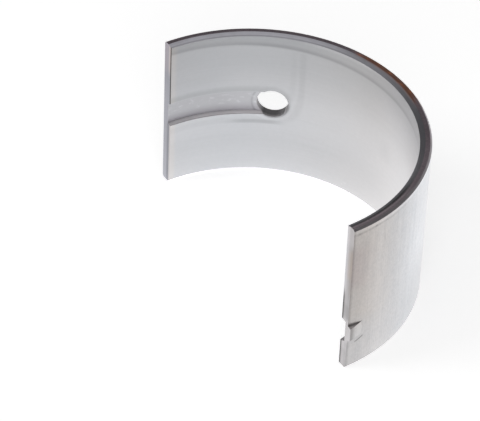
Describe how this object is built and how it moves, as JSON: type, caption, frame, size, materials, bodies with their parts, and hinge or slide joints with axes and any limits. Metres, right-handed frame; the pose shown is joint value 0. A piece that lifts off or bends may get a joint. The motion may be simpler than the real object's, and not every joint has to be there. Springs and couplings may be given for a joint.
{
  "type": "engine bearing shell",
  "caption": "Half shell of a split plain engine bearing: lined steel half ring with bevelled rims, an oil hole fed by a short groove, and a pressed locating tang.",
  "frame": {"origin": "on the journal axis, halfway between the two side faces, in the parting plane", "axes": "+Z along the journal toward the rim with the wide bevel, +Y from the parting plane toward the crown, +X toward the parting face with the tang"},
  "size_m": [0.0861, 0.0425, 0.0434],
  "materials": {
    "shell": "brushed back, satin lined bore, dark machined rims"
  },
  "bodies": {
    "root": {"bearing_shell": "shell"}
  },
  "joints": []
}
